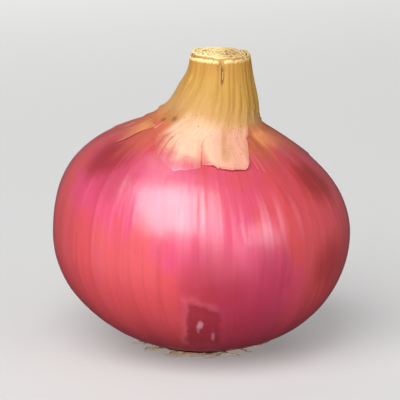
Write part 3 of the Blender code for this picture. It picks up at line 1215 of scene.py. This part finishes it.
def sheath_material(colours):
    """Cut leaf sheaths: cream where the knife went, ochre down their sides."""
    material, shader, nodes = new_material("cut_neck", 0.7, Subsurface_Weight=0.08)
    climb = attribute(nodes, "climb", "Fac")
    place = object_place(nodes)
    fibre = nodes.vector("MULTIPLY", place, (3.0, 3.0, 0.5)).noise(1.0, 3.0, 0.6)
    grain = place.noise(2.4, 3.0, 0.6)
    # Ochre over the right side of the cut, and ochre spots at random
    ochre_on_right_and_spots = (place.split()[0] + (grain - 0.5) * 4.0).smooth(3.5, 6.5)
    ochre_on_right_and_spots = nodes.most(ochre_on_right_and_spots * 0.55, grain.smooth(0.55, 0.75) * 0.35)
    colour = nodes.coats(
        colours.straw,
        (fibre.smooth(0.4, 0.65), colours.ochre),
        # Brown further down each sheath: painted shade deep between the sheaths
        (climb.smooth(0.7, 0.1), colours.brown),
        ((climb + (grain - 0.5) * 0.2).smooth(0.9, 0.99), colours.cream),
        (ochre_on_right_and_spots, colours.ochre),
    )
    nodes.fill(shader.inputs["Base Color"], colour)
    bump(nodes, shader, fibre * 0.6 + grain * 0.4, 0.15 * MM, 0.8)
    return material


def plate_material(colours):
    """Corky root plate: grey-tan, with dark pits."""
    material, shader, nodes = new_material("root_plate", 0.85)
    place = object_place(nodes)
    meridian = attribute(nodes, "meridian")
    pits = place.noise(0.9, 3.0, 0.6)
    grain = place.noise(3.0, 4.0, 0.65)
    rays = meridian.streaks(14.0, 1.5, 83.0, 2.0)
    colour = nodes.coats(
        colours.cork,
        (grain.smooth(0.35, 0.7), colours.pale_cork),
        (rays.smooth(0.5, 0.75) * 0.4, colours.brown),
        (pits.smooth(0.5, 0.72) * 0.75, colours.brown),
    )
    nodes.fill(shader.inputs["Base Color"], colour)
    bump(nodes, shader, grain * 0.7 + rays * 0.3, 0.25 * MM, 0.9)
    return material


def root_material(colours):
    """Dry roots: pale straw to brown, each its own shade, darker at the tip."""
    material, shader, nodes = new_material("dry_roots", 0.75)
    along, shade, _ = attribute(nodes, "root").split()
    place = object_place(nodes)
    grain = place.noise(2.5, 3.0, 0.6)
    colour = nodes.coats(
        colours.pale_root,
        (shade, colours.root),
        (grain.smooth(0.45, 0.7) * 0.5, colours.brown),
        (along.smooth(0.6, 1.0) * 0.4, colours.brown),
    )
    nodes.fill(shader.inputs["Base Color"], colour)
    bump(nodes, shader, grain, 0.1 * MM, 0.8)
    return material


def floor_material(colour):
    """Plain pale studio floor with the faintest mottle, and a glow that keeps its far end pale."""
    material, shader, nodes = new_material(
        "studio_floor", 0.9, Specular_IOR_Level=0.0, Emission_Strength=FLOOR_GLOW
    )
    place = nodes.add("ShaderNodeTexCoord", output="Object")
    mottle = place.noise(9.0, 3.0, 0.5)
    shaded = tuple(channel * 0.985 for channel in colour)
    nodes.fill(shader.inputs["Base Color"], nodes.tint(mottle, shaded, colour))
    shader.inputs["Emission Color"].default_value = (1.0, 1.0, 1.0, 1.0)
    return material


# Settings that a user would change

def whole_setting(name, description, default):
    """A whole number."""
    return IntProperty(name=name, description=description, default=default)


def number_setting(name, description, default, **shown):
    """A number, shown as its unit or subtype says."""
    return FloatProperty(name=name, description=description, default=default, **shown)


def length_setting(name, description, default):
    """A length, drawn in millimetres and shown in Blender's units."""
    shown = {"unit": "LENGTH", "min": 0.0, "precision": 5, "step": 0.001}
    return number_setting(name, description, default * MM, **shown)


def power_setting(name, place, default):
    """The power of one light."""
    return number_setting(name, f"Power of the {place}", default, unit="POWER")


def colour_setting(name, description, default):
    """A linear colour."""
    return FloatVectorProperty(
        name=name, description=description, default=default, subtype="COLOR", size=3, min=0, max=1
    )


class OnionSkinSettings(bpy.types.PropertyGroup):
    """The bulb's glossy skin"""

    columns: whole_setting("Columns", "Mesh columns round the bulb", 420)
    rows: whole_setting("Rows", "Mesh rows from root to neck", 206)
    rib_height: number_setting("Ribs", "How far broad ribs stand out, in mm", 0.22)
    vein_height: number_setting("Veins", "How far veins stand out, in mm", 0.07)
    cut_depth: length_setting("Cut Depth", "How deep the cut neck is hollow", 3.4)
    coral: colour_setting("Coral", "Skin over thick scales", (0.57, 0.064, 0.077))
    magenta: colour_setting("Magenta", "Skin where the flesh shows through", (0.57, 0.057, 0.136))
    pale_pink: colour_setting("Pale Pink", "Palest streaks", (0.68, 0.17, 0.24))
    crimson: colour_setting("Crimson", "Fine veins and the underside", (0.29, 0.02, 0.038))
    berry: colour_setting("Berry", "Darker scales", (0.36, 0.03, 0.062))
    plum: colour_setting("Plum", "Dark shoulder patches", (0.25, 0.014, 0.012))
    orange: colour_setting("Orange", "Runs under the collar", (0.56, 0.14, 0.055))
    straw: colour_setting("Straw", "Skin on the neck", (0.55, 0.30, 0.085))
    tan: colour_setting("Tan", "Skin by the root plate", (0.34, 0.17, 0.075))
    blotch: colour_setting("Blotch", "The dark mark low at the front", (0.22, 0.014, 0.018))
    speck: colour_setting("Specks", "Pale specks in the mark", (0.60, 0.25, 0.29))


class OnionCollarSettings(bpy.types.PropertyGroup):
    """The dry papery collar and the skirt at the root end"""

    columns: whole_setting("Columns", "Mesh columns round the neck", 600)
    rows: whole_setting("Rows", "Mesh rows from edge to neck", 60)
    clearance: number_setting("Clearance", "Gap over the skin, in mm", 0.27)
    fray: number_setting("Fray", "How ragged the edge is", 0.05)
    lift: number_setting("Lift", "How far the edge curls up, in mm", 0.45)
    wall: length_setting("Thickness", "Thickness of the dry skin", 0.1)
    film_wall: length_setting("Film", "Thickness of the film under it", 0.07)
    straw: colour_setting("Straw", "The neck", (0.42, 0.225, 0.047))
    light_straw: colour_setting("Light Straw", "The neck's foot", (0.45, 0.245, 0.085))
    ochre: colour_setting("Ochre", "Fibres and stains", (0.40, 0.19, 0.038))
    peach: colour_setting("Peach", "The front of the collar", (0.79, 0.46, 0.32))
    salmon: colour_setting("Salmon", "The tongue on the right of the front", (0.66, 0.30, 0.205))
    cream: colour_setting("Cream", "The cut rim of the neck", (0.84, 0.66, 0.32))
    orange: colour_setting("Orange", "The film under the collar", (0.58, 0.17, 0.062))
    amber: colour_setting("Amber", "Brighter parts of the film", (0.84, 0.35, 0.12))
    rust: colour_setting("Rust", "Darker streaks in the film", (0.40, 0.10, 0.045))
    edge: colour_setting("Edge", "The torn edge", (0.72, 0.38, 0.28))
    brown: colour_setting("Brown", "Specks and the crack", (0.20, 0.085, 0.025))


class OnionNeckSettings(bpy.types.PropertyGroup):
    """The cut neck's sheaths"""

    count: whole_setting("Sheaths", "How many tubes lie in one another", 9)
    wall: length_setting("Wall", "Thickness of a sheath", 0.56)
    unevenness: length_setting("Unevenness", "How far the cut edges differ in height", 0.8)
    waviness: length_setting("Waviness", "How far a sheath strays from round", 0.6)
    cream: colour_setting("Cream", "The cut edge", (0.95, 0.73, 0.33))
    straw: colour_setting("Straw", "The sheaths' sides", (0.52, 0.30, 0.09))
    ochre: colour_setting("Ochre", "Fibres", (0.42, 0.22, 0.06))
    brown: colour_setting("Brown", "Deep between the sheaths", (0.26, 0.13, 0.045))


class OnionRootSettings(bpy.types.PropertyGroup):
    """The root plate and its dry roots"""

    count: whole_setting("Roots", "How many dry roots", 170)
    shortest: length_setting("Shortest", "Length of the shortest root", 1.5)
    longest: length_setting("Longest", "Length of the longest root", 8.5)
    thickness: length_setting("Thickness", "Thickness of a root where it starts", 0.45)
    seed: whole_setting("Seed", "Which random roots", 3)
    cork: colour_setting("Cork", "The plate", (0.30, 0.19, 0.10))
    pale_cork: colour_setting("Pale Cork", "The plate's ridges", (0.52, 0.38, 0.23))
    root: colour_setting("Root", "Darker roots", (0.42, 0.27, 0.13))
    pale_root: colour_setting("Pale Root", "Paler roots", (0.70, 0.52, 0.32))
    brown: colour_setting("Brown", "Pits and tips", (0.13, 0.07, 0.035))


class OnionStageSettings(bpy.types.PropertyGroup):
    """Floor, lights and camera"""

    floor: colour_setting("Floor", "The floor's colour", (0.46, 0.457, 0.454))
    elevation: number_setting(
        "Camera Height", "How far the camera looks down", math.radians(13.5), subtype="ANGLE"
    )
    lens: number_setting("Lens", "Focal length, in mm", 250.0)
    key: power_setting("Key Light", "front left light", 20.6)
    side: power_setting("Side Light", "small right light", 0.42)
    back: power_setting("Back Light", "light behind", 3.6)
    fill: power_setting("Fill Light", "low right fill", 31.6)
    low_left: power_setting("Low Left Fill", "low left fill", 22.0)
    top: power_setting("Top Light", "light above", 2.5)
    sky: number_setting("Room Light", "Strength of the room's own light", 0.11)


# Operators

class ONION_OT_bulb_skin(bpy.types.Operator):
    """Make the bulb's glossy skin in place of the plain bulb"""

    bl_idname = "onion.bulb_skin"
    bl_label = "Bulb Skin"

    def execute(self, context):
        look = context.scene.onion_skin
        values = {**guides(), **as_inputs(look)}
        skin = grown_piece("bulb_skin", bulb_tree(), skin_material(look), values)
        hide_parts("bulb")
        attach(skin)
        return {"FINISHED"}


class ONION_OT_dry_skin(bpy.types.Operator):
    """Make the papery collar on the neck and the dry skirt at the root end"""

    bl_idname = "onion.dry_skin"
    bl_label = "Collar and Skirt"

    def execute(self, context):
        look, skin = context.scene.onion_collar, context.scene.onion_skin
        material = paper_material(look, skin)
        values = {**guides(), **as_inputs(skin), **as_inputs(look), "Splits": 0.12, "Torn Top": 0.05}
        top = float(STRETCHES)
        tree = sheet_tree("Papery Collar", COLLAR_EDGE, COLLAR_FREEDOM, top)
        attach(grown_piece("neck_collar", tree, material, values, look.wall))
        film = film_material(look, skin)
        values.update({"Columns": 560, "Rows": 46, "Clearance": 0.13, "Shift": 2.0, "Lift": 0.2})
        values["Torn Top"] = 0.0
        tree = sheet_tree("Orange Film", FILM_EDGE, FILM_FREEDOM, 3.3)
        attach(grown_piece("orange_film", tree, film, values, look.film_wall))
        values.update({"Columns": 420, "Rows": 22, "Fray": 0.06, "Splits": 0.05, "Shift": 5.0})
        values.update({"Clearance": 0.22, "Lift": 0.25})
        tree = sheet_tree("Dry Skirt", SKIRT_EDGE, SKIRT_FREEDOM, 0.0)
        attach(grown_piece("root_skirt", tree, film, values, look.wall))
        return {"FINISHED"}


class ONION_OT_cut_neck(bpy.types.Operator):
    """Make the sheaths that show in the cut neck"""

    bl_idname = "onion.cut_neck"
    bl_label = "Cut Neck"

    def execute(self, context):
        look = context.scene.onion_neck
        values = {
            **as_inputs(look), "Columns": 200, "Depth": 3.1 * MM, "Outer Radius": 6.2 * MM,
            "Core Radius": 0.5 * MM,
        }
        piece = grown_piece("neck_sheaths", sheaths_tree(), sheath_material(look), values, look.wall)
        attach(piece)
        return {"FINISHED"}


class ONION_OT_root_end(bpy.types.Operator):
    """Make the corky root plate and the dry roots round it"""

    bl_idname = "onion.root_end"
    bl_label = "Root Plate and Roots"

    def execute(self, context):
        look = context.scene.onion_roots
        values = {
            "Columns": 220, "Rows": 64, "Radius": 7.5 * MM, "Height": 1.25 * MM,
            "Pit Depth": 0.4 * MM,
        }
        plate = grown_piece("root_plate", plate_tree(), plate_material(look), values)
        attach(plate)
        bulb = bpy.data.objects["bulb_skin"]
        values = {**as_inputs(look), "Bulb": bulb, "Start Radius": 6.4 * MM, "Curl": 1.0}
        roots = grown_piece("dry_roots", roots_tree(), root_material(look), values)
        attach(roots)
        return {"FINISHED"}


class ONION_OT_stage(bpy.types.Operator):
    """Make the pale floor, the soft lights and the camera"""

    bl_idname = "onion.stage"
    bl_label = "Stage"

    def execute(self, context):
        look = context.scene.onion_stage
        make_floor(look)
        make_lights(look)
        make_camera(look)
        context.scene.view_settings.view_transform = "Standard"
        return {"FINISHED"}


# The floor and the wall it curves up into, in metres, and how strongly they glow
FLOOR_RADIUS = 2.0
WALL_HEIGHT = 1.6
WALL_STEPS = 24
FLOOR_SIDES = 96
FLOOR_GLOW = 0.2

# Each light's name, width and height in metres, azimuth and elevation in degrees, distance in metres,
# roll in degrees, and whether the gloss reflects it. The key and the small side light make the two
# highlights, and the others only fill the shade.
LIGHTS = (
    ("key", (1.08, 1.28), -27.5, 45, 1.2, 14, True),
    ("side", (0.26, 0.24), 52, 16, 0.6, 0, True),
    ("back", (0.8, 0.5), -168, 10, 0.7, 0, False),
    ("fill", (2.0, 1.6), 24, -10, 2.0, 0, False),
    ("low_left", (1.6, 1.6), -60, -16, 1.8, 0, False),
    ("top", (0.9, 0.9), 45, 62, 1.0, 0, False),
)

# A photograph's pixel on the onion, how many the frame is wide, and where the camera looks, in
# millimetres
PHOTO_SCALE = 0.6735 * MM
FRAME_PIXELS = 130
AIM = (0.07, 0.0, 32.4)


def make_floor(look):
    """A wide round floor that curves up into a wall, all in one pale colour."""
    profile = [(FLOOR_RADIUS * 0.5, 0.0)]
    for step in range(1, WALL_STEPS + 1):
        turn = math.pi / 2 * step / WALL_STEPS
        radius = FLOOR_RADIUS * (0.5 + 0.5 * math.sin(turn))
        profile.append((radius, WALL_HEIGHT * (1 - math.cos(turn))))
    shape = bmesh.new()
    last = None
    for radius, height in profile:
        made = bmesh.ops.create_circle(
            shape, cap_ends=last is None, segments=FLOOR_SIDES, radius=radius
        )
        for vertex in made["verts"]:
            vertex.co.z = height
        edges = list({edge for vertex in made["verts"] for edge in vertex.link_edges})
        if last is not None:
            bmesh.ops.bridge_loops(shape, edges=last + edges)
        last = edges
    bmesh.ops.recalc_face_normals(shape, faces=shape.faces)
    bmesh.ops.reverse_faces(shape, faces=[face for face in shape.faces if face.normal.z < 0])
    mesh = bpy.data.meshes.new("floor")
    shape.to_mesh(mesh)
    shape.free()
    mesh.shade_smooth()
    mesh.materials.append(floor_material(tuple(look.floor)))
    floor = placed("floor", mesh)

    # The pale floor throws no light back up, so the onion's underside stays dark
    floor.visible_glossy = False
    floor.visible_diffuse = False
    floor.visible_shadow = False


def make_light(name, power, size, azimuth, elevation, distance, roll, glossy):
    """A flat soft light that looks at the onion. Azimuth 0 is the camera's side, + is right."""
    light = bpy.data.lights.new(name, "AREA")
    light.shape = "RECTANGLE"
    light.size, light.size_y = size
    light.energy = power
    turn, rise = math.radians(azimuth), math.radians(elevation)
    toward = Vector((
        math.sin(turn) * math.cos(rise), -math.cos(turn) * math.cos(rise), math.sin(rise)
    ))
    lamp = placed(name, light)
    lamp.location = Vector((0, 0, BELLY_HEIGHT)) + toward * distance
    rolled = Quaternion((0.0, 0.0, 1.0), math.radians(roll))
    lamp.rotation_euler = (toward.to_track_quat("Z", "Y") @ rolled).to_euler()
    lamp.visible_camera = False
    lamp.visible_glossy = glossy


def make_lights(look):
    """Every light of the table, and a dim room."""
    for name, *placing in LIGHTS:
        make_light(name, getattr(look, name), *placing)
    world = bpy.data.worlds.new("room")
    world.use_nodes = True
    nodes = Nodes(world.node_tree)
    background = world.node_tree.nodes["Background"]
    background.inputs["Color"].default_value = (1.0, 0.98, 0.97, 1.0)

    # The room is brightest a little above the floor, and dim overhead and below
    up = nodes.add("ShaderNodeTexCoord", output="Generated").split()[2]
    away = abs(up - 0.1)
    strength = away.smooth(0.75, 0.0, look.sky * 0.2, look.sky)
    nodes.fill(background.inputs["Strength"], strength)
    bpy.context.scene.world = world


def make_camera(look):
    """The camera at the photograph's angle to the onion, close enough for the onion to fill the frame."""
    data = bpy.data.cameras.new("camera")
    data.lens = look.lens
    wide = FRAME_PIXELS * PHOTO_SCALE
    distance = wide * data.lens / data.sensor_width
    back = Vector((0.0, -math.cos(look.elevation), math.sin(look.elevation)))
    camera = placed("camera", data)
    camera.location = Vector(AIM) * MM + back * distance
    camera.rotation_mode = "QUATERNION"
    camera.rotation_quaternion = (-back).to_track_quat("-Z", "Y")
    bpy.context.scene.camera = camera


class ONION_PT_looks(bpy.types.Panel):
    """Lists the operators that make the onion"""

    bl_idname = "ONION_PT_looks"
    bl_label = "Onion"
    bl_space_type = "VIEW_3D"
    bl_region_type = "UI"
    bl_category = "Onion"

    def draw(self, context):
        for operator, settings in STEPS:
            box = self.layout.box()
            box.operator(operator.bl_idname)
            group = getattr(context.scene, settings)
            for name in group.bl_rna.properties.keys():
                if name not in ("rna_type", "name"):
                    box.prop(group, name)


STEPS = (
    (ONION_OT_bulb_skin, "onion_skin"),
    (ONION_OT_dry_skin, "onion_collar"),
    (ONION_OT_cut_neck, "onion_neck"),
    (ONION_OT_root_end, "onion_roots"),
    (ONION_OT_stage, "onion_stage"),
)
SETTINGS = {
    "onion_skin": OnionSkinSettings,
    "onion_collar": OnionCollarSettings,
    "onion_neck": OnionNeckSettings,
    "onion_roots": OnionRootSettings,
    "onion_stage": OnionStageSettings,
}


def register():
    for name, group in SETTINGS.items():
        bpy.utils.register_class(group)
        setattr(bpy.types.Scene, name, PointerProperty(type=group))
    for operator, _ in STEPS:
        bpy.utils.register_class(operator)
    bpy.utils.register_class(ONION_PT_looks)


def unregister():
    bpy.utils.unregister_class(ONION_PT_looks)
    for operator, _ in reversed(STEPS):
        bpy.utils.unregister_class(operator)
    for name, group in SETTINGS.items():
        delattr(bpy.types.Scene, name)
        bpy.utils.unregister_class(group)


def main():
    """Makes every piece in order, then clears the outline guides away."""
    register()
    bpy.ops.onion.bulb_skin()
    bpy.ops.onion.dry_skin()
    bpy.ops.onion.cut_neck()
    bpy.ops.onion.root_end()
    bpy.ops.onion.stage()
    remove_guides()


if __name__ == "__main__":
    main()
